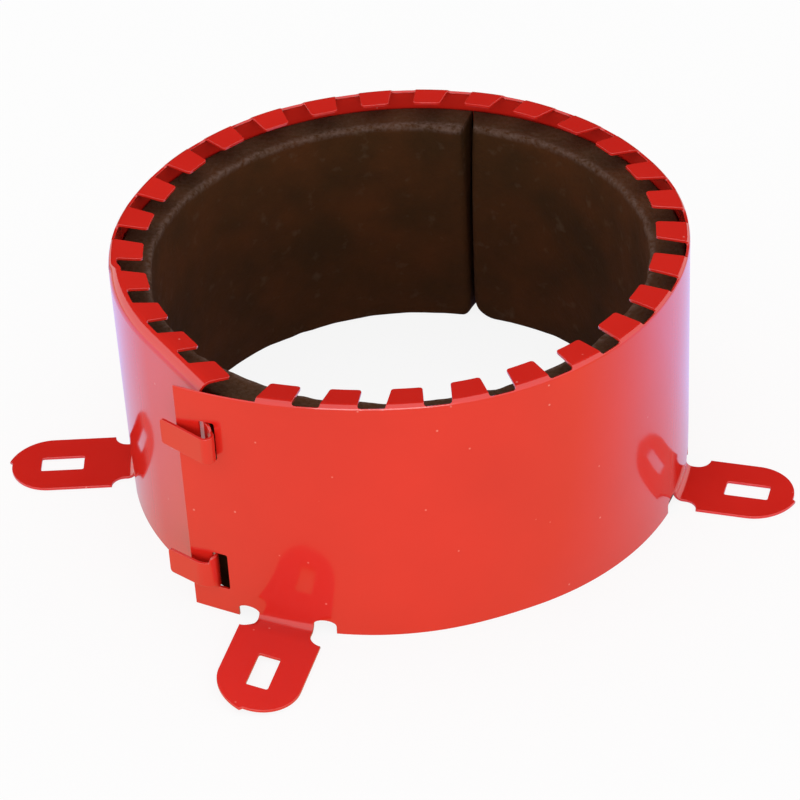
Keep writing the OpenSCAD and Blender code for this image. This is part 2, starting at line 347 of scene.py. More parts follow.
tooth_sides = np.sort(np.concatenate([TEETH_S, TEETH_S + TOOTH_W]))
stops_s = np.concatenate([[0.0], tooth_sides, [BAND_LEN + END_ROOM]])
COLUMNS = np.concatenate(
    [spread(a, b, STEP_S) for a, b in zip(stops_s[:-1], stops_s[1:])]
    + [spread(BAND_LEN + END_ROOM, TONGUE_END - TONGUE_LEG, STEP_FOLD)]
    + [spread(TONGUE_END - TONGUE_LEG, TONGUE_END, STEP_S)]
)
lug_flat_t = LUG_TOP - LUG_FOLD_R * QUARTER_TURN
ROWS = np.concatenate([
    spread(lug_flat_t - LUG_REACH, lug_flat_t, STEP_S),
    spread(lug_flat_t, LUG_TOP, STEP_FOLD),
    spread(LUG_TOP, BAND_H - ROLLED_R, STEP_T),
    spread(BAND_H - ROLLED_R, BAND_H - ROLLED_R + ROLLED_R * QUARTER_TURN, STEP_FOLD),
    spread(BAND_H - ROLLED_R + ROLLED_R * QUARTER_TURN, TOOTH_TIPS.max(), STEP_S),
])
print("grid of the blank:", len(COLUMNS), "by", len(ROWS))

# %% Drawing the outline
STEP_ARC = 0.45


def side(a, b):
    """Points from a up to b, with one at each grid line that the straight side crosses."""
    a, b = np.asarray(a, float), np.asarray(b, float)
    length = np.linalg.norm(b - a)
    shares = [np.zeros(1)]
    for lines, axis in ((COLUMNS, 0), (ROWS, 1)):
        if abs(b[axis] - a[axis]) > END_ROOM:
            shares.append((lines - a[axis]) / (b[axis] - a[axis]))
    shares = np.unique(np.concatenate(shares).round(6))
    kept = (shares == 0) | ((shares * length > END_ROOM) & ((1 - shares) * length > END_ROOM))
    return a + shares[kept, None] * (b - a)


def arc(centre, radius, start, end, squash=1.0):
    """Points of an arc from one angle up to another, in degrees, with its height squashed to a share."""
    turn = np.radians(end - start)
    count = int(np.ceil(radius * abs(turn) / STEP_ARC))
    angles = np.radians(start) + turn * np.linspace(0, 1, count + 1)[:-1]
    return np.asarray(centre, float) + polar(np.full(angles.shape, float(radius)), angles) * (1, squash)


def polyline(*corners):
    """Straight sides through the corners, in order, without the last corner itself."""
    return np.concatenate([side(a, b) for a, b in zip(corners[:-1], corners[1:])])


def window(low, high, corner):
    """A rectangular hole with rounded corners, drawn clockwise."""
    (a, b), (c, d) = low, high
    return np.concatenate([
        side((a, b + corner), (a, d - corner)),
        arc((a + corner, d - corner), corner, 180, 90),
        side((a + corner, d), (c - corner, d)),
        arc((c - corner, d - corner), corner, 90, 0),
        side((c, d - corner), (c, b + corner)),
        arc((c - corner, b + corner), corner, 0, -90),
        side((c - corner, b), (a + corner, b)),
        arc((a + corner, b + corner), corner, -90, -180),
    ])


# %% [markdown]
# Each lug has a round relief cut on each side of its neck, scooped shoulders and a round end. Where the
# blank was sheared off its strip, the left half of the end stands out a little and stops at a small nub.

# %% The lower edge with its lugs
SCOOP = (LUG_W - NECK_W) / 2
NUB, NUB_END, END_STEPS = 0.8, np.radians(-97.0), 60


def lug_height(reach):
    """Blank height of a point on the level part of a lug, from its reach out."""
    return lug_flat_t + LUG_FOLD_R - reach


def sheared_end(s, reach):
    """Round end of a lug, from its left side down and round to its right. The radius grows by NUB on the
    way to the nub, and drops back there."""
    centre = np.array([s, lug_height(reach - LUG_W / 2)])
    angles = np.linspace(-HALF_TURN, 0, END_STEPS + 1)[:-1]
    share = np.clip((angles + HALF_TURN) / (NUB_END + HALF_TURN), 0, 1)
    radius = LUG_W / 2 + np.where(angles <= NUB_END, NUB * share**3, 0)
    return centre + polar(radius, angles)


def lug_outline(s, short):
    """The blank's lower edge past a lug at length s, from the relief on its left to the one on its right. A
    lug may be cut short."""
    neck, half = NECK_W / 2, LUG_W / 2
    relief, rise = neck + RELIEF_W / 2, LUG_TOP + RELIEF_RISE
    relief_squash = 2 * RELIEF_TOP / RELIEF_W
    reach = LUG_REACH - short
    scoop_t, shoulder_t = lug_height(LUG_SHOULDER - SCOOP), lug_height(LUG_SHOULDER)
    end_t = lug_height(reach - half)
    return np.concatenate([
        side((s - neck - RELIEF_W, 0), (s - neck - RELIEF_W, rise)),
        arc((s - relief, rise), RELIEF_W / 2, 180, 0, relief_squash),
        side((s - neck, rise), (s - neck, scoop_t)),
        arc((s - half, scoop_t), SCOOP, 0, -90),
        side((s - half, shoulder_t), (s - half, end_t)),
        sheared_end(s, reach),
        side((s + half, end_t), (s + half, shoulder_t)),
        arc((s + half, scoop_t), SCOOP, -90, -180),
        side((s + neck, scoop_t), (s + neck, rise)),
        arc((s + relief, rise), RELIEF_W / 2, 180, 0, relief_squash),
        side((s + neck + RELIEF_W, rise), (s + neck + RELIEF_W, 0)),
    ])


lug_half = NECK_W / 2 + RELIEF_W
gaps = np.concatenate([[0], np.stack([LUG_PLACES - lug_half, LUG_PLACES + lug_half], 1).ravel(), [BAND_LEN]])
lower_edge = [side((gaps[0], 0), (gaps[1], 0))]
for place, short, start, end in zip(LUG_PLACES, LUG_SHORT, gaps[2::2], gaps[3::2]):
    lower_edge += [lug_outline(place, short), side((start, 0), (end, 0))]
print("points on the lower edge:", sum(map(len, lower_edge)))

# %% [markdown]
# The inner end carries the two tongues, each with a round shoulder at its root. The teeth taper and lean a
# little, and the notches between them have rounded roots. The outline runs anticlockwise and the holes
# clockwise, so that the way out of the sheet is always on the right.

# %% The ends, the teeth and the whole outline
TONGUE_CORNER, SLOT_CORNER, TIP_CORNER, ROOT_CORNER = 0.8, 0.4, 0.8, 0.6
SHOULDER_R, SHOULDER_RUN = 1.4, 2.2
TOOTH_TAPER, TOOTH_SKEW = 0.35, 0.08
ROOT_DROP = 0.55
ROOT_T = BAND_H - ROOT_DROP
ROLLED_ROOT_T = BAND_H - ROLLED_R + ROLLED_R * np.arccos(SHEET_T / 2 / ROLLED_R)
END_TOP_T = BAND_H - ROLLED_R - NOTCH_RELIEF


def tongue_outline(low, end, drop):
    """One tongue on the inner end, out along its lower side, back along its upper side and up over the
    round shoulder at its root. The lower tongue has a slight shoulder on its lower side too."""
    high, c, root = low + TONGUE_W, TONGUE_CORNER, BAND_LEN + SHOULDER_RUN
    return np.concatenate([
        side((BAND_LEN, low - drop), (root, low - drop)),
        arc((root, low), drop, -90, 0),
        side((root + drop, low), (end - c, low)),
        arc((end - c, low + c), c, -90, 0),
        side((end, low + c), (end, high - c)),
        arc((end - c, high - c), c, 0, 90),
        side((end - c, high), (root + SHOULDER_R, high)),
        arc((root, high), SHOULDER_R, 0, 90),
        side((root, high + SHOULDER_R), (BAND_LEN, high + SHOULDER_R)),
    ])


inner_end, last_t = [], 0.0
for low, end, drop in zip(TONGUE_FLOORS, TONGUE_ENDS, TONGUE_DROPS):
    inner_end += [side((BAND_LEN, last_t), (BAND_LEN, low - drop)), tongue_outline(low, end, drop)]
    last_t = low + TONGUE_W + SHOULDER_R
last_s = TEETH_S[-1] + TOOTH_W
inner_end.append(polyline((BAND_LEN, last_t), (BAND_LEN, END_TOP_T), (last_s, END_TOP_T)))


def tooth_outline(s, root_t, tip_t):
    """One tooth from its right root over its tip to its left root. Its sides taper a little and lean along
    the band, and its tip has rounded corners."""
    c, lean = TIP_CORNER, TOOTH_SKEW * (tip_t - ROOT_T)
    right, left = s + TOOTH_W - TOOTH_TAPER + lean, s + TOOTH_TAPER + lean
    return np.concatenate([
        side((s + TOOTH_W, root_t), (right, tip_t - c)),
        arc((right - c, tip_t - c), c, 0, 90),
        side((right - c, tip_t), (left + c, tip_t)),
        arc((left + c, tip_t - c), c, 90, 180),
    ])


def notch_outline(left, right, top_left, root_t):
    """The notch on the left of a tooth: down its right side, along its root and up to the next tooth, with
    rounded corners."""
    c = ROOT_CORNER
    return np.concatenate([
        side(top_left, (right, root_t + c)),
        arc((right - c, root_t + c), c, 0, -90),
        side((right - c, root_t), (left + c, root_t)),
        arc((left + c, root_t + c), c, -90, -180),
    ])


upper_edge, before_t = [], END_TOP_T
for i in reversed(range(TEETH)):
    s, tip = TEETH_S[i], TOOTH_TIPS[i]
    upper_edge.append(tooth_outline(s, before_t, tip))
    top_left = (s + TOOTH_TAPER + TOOTH_SKEW * (tip - ROOT_T), tip - TIP_CORNER)
    if i:
        root = ROLLED_ROOT_T if i >= TEETH - ROLLED_TEETH else ROOT_T
        upper_edge.append(notch_outline(TEETH_S[i - 1] + TOOTH_W, s, top_left, root))
        before_t = root + ROOT_CORNER
    else:
        upper_edge.append(polyline(top_left, (s, ROOT_T), (0, ROOT_T)))
outer_end = side((0, ROOT_T), (0, 0))

outline = np.concatenate(lower_edge + inner_end + upper_edge + [outer_end])
slot_left, slot_right = SLOT_PLACE - SLOT_W / 2, SLOT_PLACE + SLOT_W / 2
closure_slots = [window((slot_left, z), (slot_right, z + SLOT_H), SLOT_CORNER) for z in SLOT_FLOORS]
half_slot = SCREW_SLOT_W / 2
slot_low, slot_high = lug_height(SCREW_SLOT_START + SCREW_SLOT_L), lug_height(SCREW_SLOT_START)
screw_slots = [
    window((s - half_slot, slot_low + nearer), (s + half_slot, slot_high + nearer), SLOT_CORNER)
    for s, nearer in zip(LUG_PLACES, SLOT_NEARER)
]
loops = [outline, *closure_slots, *screw_slots]
print("points on the blank's outlines:", sum(map(len, loops)))

# %% [markdown]
# The flat blank is filled with triangles. Blender's constrained Delaunay function keeps every outline and
# joins the grid points inside it. Two tests are needed round it: which points lie inside the sheet, and
# which lie too near an edge to be of use. Both are done on whole arrays, a block of points at a time.

# %% Filling the blank
EDGE_ROUND = 0.14
GRID_ROOM, NEAREST = 0.3, 1e-7
BLOCKS = 60


def room(points, loops):
    """Distance of each point from the nearest outline, negative outside the sheet. A point is inside when a
    line from it along s crosses the outlines an odd number of times."""
    a = np.concatenate(loops)
    b = np.concatenate([np.roll(loop, -1, axis=0) for loop in loops])
    edge = b - a
    found = []
    for block in np.array_split(points, BLOCKS):
        offset = block[:, None] - a
        share = np.clip((offset * edge).sum(-1) / (edge * edge).sum(-1), 0, 1)
        distance = np.linalg.norm(offset - share[..., None] * edge, axis=-1).min(1)
        straddles = (a[:, 1] > block[:, None, 1]) != (b[:, 1] > block[:, None, 1])
        rise = np.where(edge[:, 1] == 0, 1, edge[:, 1])
        crossing = a[:, 0] + (block[:, None, 1] - a[:, 1]) / rise * edge[:, 0]
        odd = (straddles & (crossing > block[:, None, 0])).sum(1) % 2 == 1
        found.append(np.where(odd, distance, -distance))
    return np.concatenate(found)


rim = np.concatenate(loops)
grid = np.stack(np.meshgrid(COLUMNS, ROWS), -1).reshape(-1, 2)
grid = grid[room(grid, loops) > GRID_ROOM]
blank = np.concatenate([rim, grid])
starts = np.cumsum([0] + [len(loop) for loop in loops])
following = np.concatenate([a + np.roll(np.arange(b - a), -1) for a, b in zip(starts[:-1], starts[1:])])
rim_edges = np.column_stack([np.arange(len(rim)), following])
filling = delaunay_2d_cdt([Vector(p) for p in blank], rim_edges.tolist(), [], 0, NEAREST, True)
_, _, filled, origins, _, _ = filling
source = np.array([origin[0] for origin in origins])
triangles = source[np.array(filled)]
triangles = triangles[room(blank[triangles].mean(1), loops) > 0]
first, second = (blank[triangles[:, k]] - blank[triangles[:, 0]] for k in (1, 2))
turned = first[:, 0] * second[:, 1] < first[:, 1] * second[:, 0]
triangles[turned] = triangles[turned][:, ::-1]
print("triangles in the blank:", len(triangles))

# %% [markdown]
# The sheet gets its thickness in the same way that it was folded: the fold function is called again at a
# depth of one sheet. Between the two faces runs the sheared rim, whose edges the coat has rounded. Solidify
# and Bevel could do this too, but here the same formula gives exact points and normals.

# %% Thickness and rounded rims
SHARPEST = 0.5


def way_out(loop):
    """Direction out of the sheet at each point of an outline: the mean of its two sides' right-hand
    normals, made longer at corners so that an offset keeps its width."""
    sides = np.roll(loop, -1, axis=0) - loop
    normals = np.column_stack([sides[:, 1], -sides[:, 0]]) / np.linalg.norm(sides, axis=1, keepdims=True)
    before = np.roll(normals, 1, axis=0)
    return (before + normals) / np.maximum(1 + (before * normals).sum(1, keepdims=True), SHARPEST)


def new_piece(name, points, faces, normals=None):
    """A mesh object at the origin from points in millimetres, smooth, with its own normals where they are
    given."""
    mesh = bpy.data.meshes.new(name)
    mesh.from_pydata((points * MM).tolist(), [], faces)
    mesh.shade_smooth()
    if normals is not None:
        mesh.normals_split_custom_set_from_vertices(normals.tolist())
    piece = bpy.data.objects.new(name, mesh)
    bpy.context.scene.collection.objects.link(piece)
    return piece


def folded_casing():
    """The blank's two faces and its rim, folded. The rim's profile is a quarter circle, a straight and a
    quarter circle from the outer face to the inner one, and its normal turns with it."""
    count = len(blank)
    out = np.zeros_like(blank)
    out[: len(rim)] = np.concatenate([way_out(loop) for loop in loops])
    inset = blank - EDGE_ROUND * out
    points, normals, _, _ = fold_sheet(*inset.T, np.zeros(count))
    back_points, back_normals, _, _ = fold_sheet(*inset.T, np.full(count, SHEET_T))
    rows, row_normals = [points, back_points], [normals, -back_normals]
    rim_out = out[: len(rim)] / np.linalg.norm(out[: len(rim)], axis=1, keepdims=True)
    turns = np.radians([45, 90, 90, 135])
    shifts = EDGE_ROUND * (np.sin(turns) - 1)
    depths = EDGE_ROUND * (1 - np.cos(turns)) + np.array([0, 0, 1, 1]) * (SHEET_T - 2 * EDGE_ROUND)
    for turn, shift, depth in zip(turns, shifts, depths):
        s, t = (rim + shift * out[: len(rim)]).T
        found, normal, along, up = fold_sheet(s, t, np.full(len(rim), depth))
        outward = along * rim_out[:, :1] + up * rim_out[:, 1:]
        rows.append(found)
        row_normals.append(np.cos(turn) * normal + np.sin(turn) * outward)
    on_rim = np.arange(len(rim))
    steps = [on_rim] + [2 * count + len(rim) * k + on_rim for k in range(len(turns))] + [count + on_rim]
    faces = triangles.tolist() + (count + triangles[:, ::-1]).tolist()
    for here, below in zip(steps[:-1], steps[1:]):
        faces += np.column_stack([here, below, below[following], here[following]]).tolist()
    return new_piece("casing_sheet", np.concatenate(rows), faces, np.concatenate(row_normals))


casing = folded_casing()
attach(casing, "root")
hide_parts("casing")
print("folded casing:", len(casing.data.polygons), "faces")

# %% [markdown]
# The liner is a soft, granular strip bent to a ring, with a butt seam at the back. A lathe would give a
# plain ring. Here a rounded section is carried round the pipe's axis as a grid, and the grid is then worked
# over: lumps in the pressed face, a worn upper edge, ends with rounded corners, and one end that has come
# away and leans in over the bore.

# %% Sizes of the strip, in millimetres
bore = next(mount for mount in frame["record"]["mounts"] if mount["name"] == "pipe_bore")
BORE_R = bore["dims"]["r_mm"]
_, strip_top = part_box("intumescent_liner")
STRIP_T = 8.1
STRIP_R, STRIP_H = BORE_R + STRIP_T, strip_top.z / MM
SEAM_ANGLE, SEAM_GAP = np.radians(81.0), 1.0
UPPER_ROUND, LOWER_ROUND = 0.8, 0.6
GRAIN_STEP, BEND_STEPS, BACK_STEPS, BASE_STEPS = 0.95, 6, 8, 7
LATTICE = 256


def lumps(u, v, cell, seed):
    """Smooth random lumps from -1 to 1: random heights on a square lattice, eased from one lattice point to
    the next by 3x^2 - 2x^3."""
    table = np.random.default_rng(seed).uniform(-1, 1, (LATTICE, LATTICE))
    u, v = u / cell, v / cell
    i, j = np.floor(u).astype(int), np.floor(v).astype(int)
    x, y = eased(u - i), eased(v - j)
    i, j, i1, j1 = i % LATTICE, j % LATTICE, (i + 1) % LATTICE, (j + 1) % LATTICE
    low = table[i, j] * (1 - x) + table[i1, j] * x
    high = table[i, j1] * (1 - x) + table[i1, j1] * x
    return low * (1 - y) + high * y


# %% The strip's section


def strip_section():
    """Closed section of the strip as thickness in from the outer face and height: up the bore's face, over
    the top, down the hidden face and back along the base. The face that shows has the finest steps."""
    thick, up, low = STRIP_R - BORE_R, UPPER_ROUND, LOWER_ROUND
    bends = np.radians(np.linspace(0, 90, BEND_STEPS + 1)[:-1])
    face = np.arange(low, STRIP_H - up, GRAIN_STEP)
    top = np.arange(up, thick - up, GRAIN_STEP)
    back = np.linspace(STRIP_H - up, low, BACK_STEPS + 1)[:-1]
    base = np.linspace(low, thick - low, BASE_STEPS + 1)[:-1]
    return np.concatenate([
        np.column_stack([np.full(face.shape, thick), face]),
        np.column_stack([thick - up + up * np.cos(bends), STRIP_H - up + up * np.sin(bends)]),
        np.column_stack([thick - top, np.full(top.shape, STRIP_H)]),
        np.column_stack([up - up * np.sin(bends), STRIP_H - up + up * np.cos(bends)]),
        np.column_stack([np.zeros(back.shape), back]),
        np.column_stack([low - low * np.cos(bends), low - low * np.sin(bends)]),
        np.column_stack([base, np.zeros(base.shape)]),
        np.column_stack([thick - low + low * np.sin(bends), low - low * np.cos(bends)]),
    ])


def rounding(distance, radius):
    """How far a rounded corner has fallen away, at a distance from the end: nothing past the radius."""
    x = np.clip(radius - distance, 0, radius)
    return radius - np.sqrt(radius**2 - x**2)


# %% The strip as a grid
LEAN, LEAN_LENGTH = 2.2, 14.0
END_ROUND, LEFT_CORNER, RIGHT_CORNER = 1.6, 2.4, 6.0
SEAM_OPEN, SEAM_CLOSE, CLOSE_LENGTH = 1.1, 0.45, 3.0
END_STOPS = np.array([0, 0.1, 0.25, 0.5, 0.8, 1.2, 1.7])
FINE_DENT, FINE_CELL, BROAD_DENT, BROAD_CELL = 0.16, 3.1, 0.2, 11.0
WORN_BAND, WEAR, TOP_WAVE, TOP_CELL = 1.4, 0.15, 0.2, 4.0
CHIP, CHIP_CELL, CHIP_FLOOR = 0.5, 2.9, -0.3


def strip_grid():
    """Points of the section as it is carried round the axis, from one end of the strip to the other. The
    radius shrinks by the lumps and by the lean of the loose end, and grows where the edges are worn and the
    ends' corners are rounded off."""
    section = strip_section()
    length = 2 * HALF_TURN * BORE_R - SEAM_GAP
    middle = np.arange(END_STOPS[-1], length - END_STOPS[-1], GRAIN_STEP)
    run = np.concatenate([END_STOPS[:-1], middle, length - END_STOPS[::-1]])
    run, thick = np.meshgrid(run, section[:, 0], indexing="ij")
    height = np.broadcast_to(section[:, 1], run.shape)
    faces_bore = thick / (STRIP_R - BORE_R)
    near_end = np.minimum(run, length - run)

    dents = FINE_DENT * lumps(run, height + 2 * thick, FINE_CELL, 3)
    dents = dents + BROAD_DENT * lumps(run, height, BROAD_CELL, 4)
    worn = np.exp(-((STRIP_H - height) / WORN_BAND) ** 2) * faces_bore
    chips = CHIP * np.maximum(lumps(run, height, CHIP_CELL, 5), CHIP_FLOOR) * worn
    lean = LEAN * (height / STRIP_H) ** 3 * np.exp(-run / LEAN_LENGTH)
    inward = thick + faces_bore * (dents - chips - WEAR * worn) + lean * faces_bore**2
    inward = inward - faces_bore * rounding(near_end, END_ROUND)
    corner = np.where(run < length / 2, LEFT_CORNER, RIGHT_CORNER)
    lowest = rounding(near_end, corner) * faces_bore
    opened = SEAM_OPEN * (height / STRIP_H) ** 2 * np.exp((run - length) / LEAN_LENGTH) * faces_bore
    top_wave = TOP_WAVE * worn * lumps(run, thick, TOP_CELL, 6)
    height = lowest + height * (1 - lowest / STRIP_H) + top_wave
    ends = np.exp(-run / CLOSE_LENGTH) - np.exp((run - length) / CLOSE_LENGTH)
    closed = SEAM_CLOSE * (1 - faces_bore) * ends
    angle = SEAM_ANGLE + (run + SEAM_GAP / 2 - opened - closed) / BORE_R
    radius = STRIP_R - inward
    return np.stack([radius * np.cos(angle), radius * np.sin(angle), np.clip(height, 0, STRIP_H)], -1)


def tube_faces(steps, around):
    """Faces of a closed tube on a grid of steps by around points. A fan of triangles closes each end, and
    the fans' two middle points come after the points of the grid."""
    i, j = np.meshgrid(np.arange(steps - 1), np.arange(around), indexing="ij")
    here, there, up = i * around + j, (i + 1) * around + j, (j + 1) % around
    quads = np.stack([here, i * around + up, (i + 1) * around + up, there], -1).reshape(-1, 4)
    loop = np.arange(around)
    last = (steps - 1) * around + loop
    first_cap = np.column_stack([np.full(around, steps * around), np.roll(loop, -1), loop])
    last_cap = np.column_stack([np.full(around, steps * around + 1), last, np.roll(last, -1)])
    return quads.tolist() + first_cap.tolist() + last_cap.tolist()


strip = strip_grid()
strip_ends = np.stack([strip[0].mean(0), strip[-1].mean(0)])
strip_points = np.concatenate([strip.reshape(-1, 3), strip_ends])
liner = new_piece("intumescent_strip", strip_points, tube_faces(*strip.shape[:2]))
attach(liner, "root")
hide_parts("intumescent_liner")
print("strip:", len(liner.data.polygons), "faces")

# %% [markdown]
# Both finishes are node materials. One helper adds a node, sets its own properties and fills its sockets
# with values or links. Colours are written as they look on a screen and turned to the linear light that
# Blender works in.

# %% Colours and nodes


def linear(colour):
    """Linear RGBA of an sRGB hex colour: the darkest part of the curve is straight, the rest a power of
    2.4."""
    srgb = np.array([int(colour[i : i + 2], 16) for i in (1, 3, 5)]) / 255
    light = np.where(srgb <= 0.04045, srgb / 12.92, ((srgb + 0.055) / 1.055) ** 2.4)
    return (*light.tolist(), 1.0)


def add_node(tree, kind, sockets=None, **settings):
    """Adds a node of a kind, with its own settings, and fills its sockets with values or with other nodes'
    outputs."""
    node = tree.nodes.new("ShaderNode" + kind)
    for name, value in settings.items():
        setattr(node, name, value)
    for socket, value in (sockets or {}).items():
        if isinstance(value, bpy.types.NodeSocket):
            tree.links.new(value, node.inputs[socket])
        else:
            node.inputs[socket].default_value = value
    return node


def new_material(name):
    """An empty node material and its node tree."""
    material = bpy.data.materials.new(name)
    material.use_nodes = True
    material.node_tree.nodes.clear()
    return material, material.node_tree


# %% [markdown]
# The band is steel with a red polyester powder coat, baked on. Powder melts to a glossy film with a faint
# orange-peel skin, a little dust caught in it, and colour that varies slightly where the film is thicker. A
# clear layer over a strong red gives it: at a glancing view the film mirrors the pale surroundings, with a
# painted lavender reflection beside the collar, and turns pink. Real dust is finer than the specks here,
# which are drawn just coarse enough to show.

# %% Red powder coat
PEEL_MM, PEEL_DEPTH_MM, PEEL_STRENGTH = 2.2, 0.03, 0.35
CLOUD_MM, CLOUD_LOW, CLOUD_HIGH = 28.0, 0.3, 0.7
THIN_RED, THICK_RED, DUST = "#D8241B", "#E0261B", "#F4A79A"
DUST_MM, DUST_ABOVE, DUST_CORE, DUST_EDGE, DUST_COVER = 3.2, 0.84, 0.04, 0.1, 0.5
GLOSSIEST, DULLEST, FILM_IOR, FILM_ROUGH = 0.1, 0.15, 1.5, 0.09


def red_powder_coat():
    """Cloudy red with a few specks of dust, and a clear coat with a faint orange-peel skin."""
    material, tree = new_material("red_powder_coat")
    place = add_node(tree, "TexCoord").outputs["Object"]
    clouds = add_node(tree, "TexNoise", {"Vector": place, "Scale": 1 / (CLOUD_MM * MM), "Detail": 3.0})
    shade = add_node(tree, "ValToRGB", {"Fac": clouds.outputs["Fac"]})
    for stop, at, red in zip(shade.color_ramp.elements, (CLOUD_LOW, CLOUD_HIGH), (THIN_RED, THICK_RED)):
        stop.position, stop.color = at, linear(red)
    dust = add_node(tree, "TexVoronoi", {"Vector": place, "Scale": 1 / (DUST_MM * MM), "Randomness": 1.0})
    chance = add_node(tree, "SeparateColor", {"Color": dust.outputs["Color"]})
    rare = add_node(tree, "Math", {0: chance.outputs["Red"], 1: DUST_ABOVE}, operation="GREATER_THAN")
    speck = add_node(
        tree, "MapRange", {0: dust.outputs["Distance"], 1: DUST_CORE, 2: DUST_EDGE, 3: DUST_COVER, 4: 0.0}
    )
    dusty = add_node(tree, "Math", {0: rare.outputs[0], 1: speck.outputs[0]}, operation="MULTIPLY")
    colour = add_node(
        tree,
        "Mix",
        {0: dusty.outputs[0], 6: shade.outputs["Color"], 7: linear(DUST)},
        data_type="RGBA",
    )
    peel = add_node(tree, "TexNoise", {"Vector": place, "Scale": 1 / (PEEL_MM * MM), "Detail": 2.0})
    skin = add_node(
        tree,
        "Bump",
        {"Height": peel.outputs["Fac"], "Strength": PEEL_STRENGTH, "Distance": PEEL_DEPTH_MM * MM},
    )
    gloss = add_node(
        tree,
        "MapRange",
        {0: clouds.outputs["Fac"], 1: CLOUD_LOW, 2: CLOUD_HIGH, 3: GLOSSIEST, 4: DULLEST},
    )
    coat = add_node(
        tree,
        "BsdfPrincipled",
        {
            "Base Color": colour.outputs[2],
            "Roughness": gloss.outputs[0],
            "IOR": FILM_IOR,
            "Coat Weight": 1.0,
            "Coat Roughness": FILM_ROUGH,
            "Coat IOR": FILM_IOR,
            "Normal": skin.outputs["Normal"],
        },
    )
    add_node(tree, "OutputMaterial", {"Surface": coat.outputs[0]})
    return material


casing.data.materials.append(red_powder_coat())
print("nodes in the powder coat:", len(casing.active_material.node_tree.nodes))

# %% [markdown]
# The strip is graphite intumescent, rolled from a filled binder: dark brown, dull and granular, with
# reddish patches and pale grains at the surface. Its upper edge is lighter, partly rubbed by handling and
# partly a painted highlight, and its top face is a little lighter too, as painted light.

# %% Graphite intumescent
PATCH_MM, PATCH_LOW, PATCH_HIGH = 15.0, 0.32, 0.68
DARK_BROWN, RED_BROWN, WORN_AND_LIT_BROWN, PALE_GRAIN = "#3E2610", "#522D13", "#6A544B", "#64503F"
GRAIN_MM, PIT_MM, PIT_STRENGTH = 1.1, 0.5, 0.8
# Where the upper edge and top face turn lighter: partly rubbed wear, partly a painted highlight on the top.
WEAR_AND_LIGHT_START, WEAR_AND_LIGHT_FULL, WEAR_AND_LIGHT_LOW, WEAR_AND_LIGHT_HIGH = 1.9, 0.5, 0.35, 0.62
EDGE_START, EDGE_END, EDGE_WEAR_AND_LIGHT, TOP_WEAR_AND_LIGHT = 0.6, 2.0, 0.8, 0.22
SPECK_MM, SPECK_LOW, SPECK_HIGH, SPECK_COVER = 3.4, 0.62, 0.78, 0.34
STRIP_ROUGH, STRIP_SHINE = 0.85, 0.12


def graphite_intumescent():
    """Patchy brown with a pitted surface, pale grains, and an upper edge and top face that are lighter,
    partly by rubbed wear and partly by a painted highlight.
    """
    material, tree = new_material("graphite_intumescent")
    place = add_node(tree, "TexCoord").outputs["Object"]
    patches = add_node(tree, "TexNoise", {"Vector": place, "Scale": 1 / (PATCH_MM * MM), "Detail": 5.0})
    body = add_node(tree, "ValToRGB", {"Fac": patches.outputs["Fac"]})
    for stop, at, brown in zip(body.color_ramp.elements, (PATCH_LOW, PATCH_HIGH), (DARK_BROWN, RED_BROWN)):
        stop.position, stop.color = at, linear(brown)
    grain = add_node(
        tree, "TexNoise", {"Vector": place, "Scale": 1 / (GRAIN_MM * MM), "Detail": 6.0, "Roughness": 0.65}
    )
    height = add_node(tree, "SeparateXYZ", {"Vector": place})
    wear_and_light_height = add_node(
        tree,
        "MapRange",
        {0: height.outputs["Z"], 1: (STRIP_H - WEAR_AND_LIGHT_START) * MM, 2: (STRIP_H - WEAR_AND_LIGHT_FULL) * MM, 3: 0.0, 4: 1.0},
        interpolation_type="SMOOTHSTEP",
    )
    level = add_node(tree, "CombineXYZ", {"X": height.outputs["X"], "Y": height.outputs["Y"]})
    radius = add_node(tree, "VectorMath", {0: level.outputs[0]}, operation="LENGTH")
    edge = add_node(
        tree,
        "MapRange",
        {
            0: radius.outputs["Value"],
            1: (BORE_R + EDGE_START) * MM,
            2: (BORE_R + EDGE_END) * MM,
            3: EDGE_WEAR_AND_LIGHT,
            4: TOP_WEAR_AND_LIGHT,
        },
        interpolation_type="SMOOTHSTEP",
    )
    uneven = add_node(tree, "MapRange", {0: grain.outputs["Fac"], 1: WEAR_AND_LIGHT_LOW, 2: WEAR_AND_LIGHT_HIGH, 3: 0.0, 4: 1.0})
    # Painted highlight and wear: lighter near the top, most of all at the bore's edge, and patchy with the
    # grain.
    wear_and_light_place = add_node(tree, "Math", {0: wear_and_light_height.outputs[0], 1: edge.outputs[0]}, operation="MULTIPLY")
    wear_and_light_share = add_node(tree, "Math", {0: wear_and_light_place.outputs[0], 1: uneven.outputs[0]}, operation="MULTIPLY")
    # This mixes in the lighter brown, which is partly wear and partly a painted highlight.
    worn = add_node(
        tree,
        "Mix",
        {0: wear_and_light_share.outputs[0], 6: body.outputs["Color"], 7: linear(WORN_AND_LIT_BROWN)},
        data_type="RGBA",
    )
    grains = add_node(tree, "TexNoise", {"Vector": place, "Scale": 1 / (SPECK_MM * MM), "Detail": 3.0})
    pale = add_node(
        tree, "MapRange", {0: grains.outputs["Fac"], 1: SPECK_LOW, 2: SPECK_HIGH, 3: 0.0, 4: SPECK_COVER}
    )
    colour = add_node(
        tree,
        "Mix",
        {0: pale.outputs[0], 6: worn.outputs[2], 7: linear(PALE_GRAIN)},
        data_type="RGBA",
    )
    pits = add_node(
        tree, "Bump", {"Height": grain.outputs["Fac"], "Strength": PIT_STRENGTH, "Distance": PIT_MM * MM}
    )
    surface = add_node(
        tree,
        "BsdfPrincipled",
        {
            "Base Color": colour.outputs[2],
            "Roughness": STRIP_ROUGH,
            "Specular IOR Level": STRIP_SHINE,
            "Normal": pits.outputs["Normal"],
        },
    )
    add_node(tree, "OutputMaterial", {"Surface": surface.outputs[0]})
    return material


liner.data.materials.append(graphite_intumescent())
print("nodes in the strip's material:", len(liner.active_material.node_tree.nodes))
